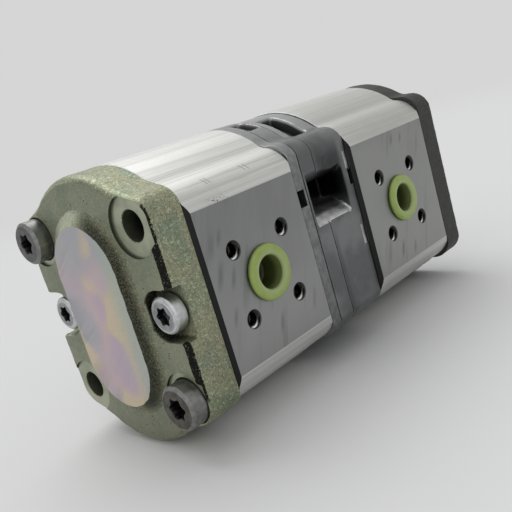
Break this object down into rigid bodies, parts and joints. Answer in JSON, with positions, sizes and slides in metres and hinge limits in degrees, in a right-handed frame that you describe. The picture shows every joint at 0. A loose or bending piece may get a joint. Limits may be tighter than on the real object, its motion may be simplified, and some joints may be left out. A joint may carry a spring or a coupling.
{
  "type": "tandem gear pump",
  "caption": "Tandem external gear pump with two gear housings in line on one drive shaft, a cast middle section and a thick rear cover, bolted behind a mounting flange.",
  "frame": {"origin": "centre of the square of bolt holes, in the plane of the mounting face", "axes": "+X along the drive shaft, out of the mounting face; the pump lies on the -X side; -Y is the outlet side, +Y the inlet side; +Z points from the idler gears to the drive shaft"},
  "size_m": [0.1937, 0.0842, 0.1],
  "materials": {
    "zinc_plated_iron": "cast, zinc plated, yellow passivated",
    "extruded_aluminium": "extruded, with milled flats",
    "die_cast_aluminium": "as cast",
    "dark_cast_iron": "as cast, dark",
    "ground_steel": "ground",
    "plated_bolt_steel": "zinc flake plated",
    "bearing_aluminium": "machined",
    "lead_bronze": "machined bronze",
    "black_rubber": "matt",
    "lime_plastic": "moulded, slightly translucent"
  },
  "bodies": {
    "housing": {"adapter_plate": "die_cast_aluminium", "adapter_plate_dowel_left": "ground_steel", "adapter_plate_dowel_right": "ground_steel", "adapter_plate_joint_seal": "black_rubber", "cover_screw_left": "plated_bolt_steel", "cover_screw_right": "plated_bolt_steel", "drive_shaft_seal": "black_rubber", "front_body": "extruded_aluminium", "front_cover": "dark_cast_iron", "front_cover_dowel_left": "ground_steel", "front_cover_dowel_right": "ground_steel", "front_cover_joint_seal": "black_rubber", "front_front_bearing_block": "bearing_aluminium", "front_front_lower_bush": "lead_bronze", "front_front_pressure_seal": "black_rubber", "front_front_upper_bush": "lead_bronze", "front_inlet_plug": "lime_plastic", "front_outlet_plug": "lime_plastic", "front_rear_bearing_block": "bearing_aluminium", "front_rear_lower_bush": "lead_bronze", "front_rear_pressure_seal": "black_rubber", "front_rear_upper_bush": "lead_bronze", "long_bolt_left": "plated_bolt_steel", "long_bolt_right": "plated_bolt_steel", "middle_housing": "die_cast_aluminium", "middle_housing_dowel_left": "ground_steel", "middle_housing_dowel_right": "ground_steel", "middle_housing_joint_seal": "black_rubber", "middle_shaft_seal": "black_rubber", "pilot_ring": "black_rubber", "plate_shaft_seal": "black_rubber", "rear_body": "extruded_aluminium", "rear_cover": "zinc_plated_iron", "rear_cover_dowel_left": "ground_steel", "rear_cover_dowel_right": "ground_steel", "rear_cover_joint_seal": "black_rubber", "rear_front_bearing_block": "bearing_aluminium", "rear_front_lower_bush": "lead_bronze", "rear_front_pressure_seal": "black_rubber", "rear_front_upper_bush": "lead_bronze", "rear_inlet_plug": "lime_plastic", "rear_outlet_plug": "lime_plastic", "rear_rear_bearing_block": "bearing_aluminium", "rear_rear_lower_bush": "lead_bronze", "rear_rear_pressure_seal": "black_rubber", "rear_rear_upper_bush": "lead_bronze", "seal_circlip": "ground_steel"},
    "drive_train": {"front_drive_gear": "ground_steel", "shaft_coupling": "ground_steel", "rear_drive_gear": "ground_steel"},
    "front_idler": {"front_idler_gear": "ground_steel"},
    "rear_idler": {"rear_idler_gear": "ground_steel"}
  },
  "joints": [
    {"name": "drive_spin", "type": "hinge", "parent": "housing", "child": "drive_train", "pos_m": [0, 0, 0.017], "axis": [1, 0, 0], "continuous": true},
    {"name": "front_idler_spin", "type": "hinge", "parent": "housing", "child": "front_idler", "pos_m": [0, 0, -0.017], "axis": [1, 0, 0], "continuous": true},
    {"name": "rear_idler_spin", "type": "hinge", "parent": "housing", "child": "rear_idler", "pos_m": [0, 0, -0.017], "axis": [1, 0, 0], "continuous": true}
  ],
  "couplings": [
    {"joint": "front_idler_spin", "follows": "drive_spin", "ratio": -1},
    {"joint": "rear_idler_spin", "follows": "drive_spin", "ratio": -1}
  ]
}
